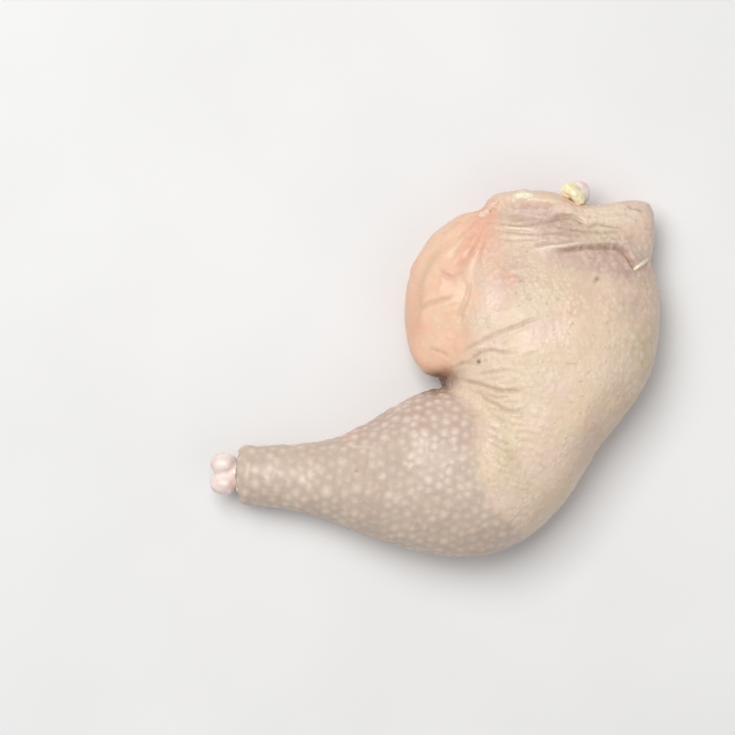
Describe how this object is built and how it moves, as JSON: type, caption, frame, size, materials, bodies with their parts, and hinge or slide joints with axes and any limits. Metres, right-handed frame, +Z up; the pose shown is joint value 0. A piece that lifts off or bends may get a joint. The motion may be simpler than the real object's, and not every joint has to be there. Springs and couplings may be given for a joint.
{
  "type": "raw whole chicken leg, drumstick and thigh in one piece",
  "caption": "Raw whole chicken leg with its skin on, drumstick and thigh still joined and bent at the knee, lying on its inner side.",
  "frame": {"origin": "middle of the leg's footprint, on the surface that it lies on", "axes": "+Z up from the surface; -X from the knee towards the ankle; +Y from the knee towards the hip"},
  "size_m": [0.1604, 0.1336, 0.045],
  "materials": {
    "skin": "moist",
    "bone": "moist",
    "fat": "moist"
  },
  "bodies": {
    "root": {"leg": "skin", "thigh_bone": "bone", "shank_bone": "bone", "hip_fat": "fat"}
  },
  "joints": []
}
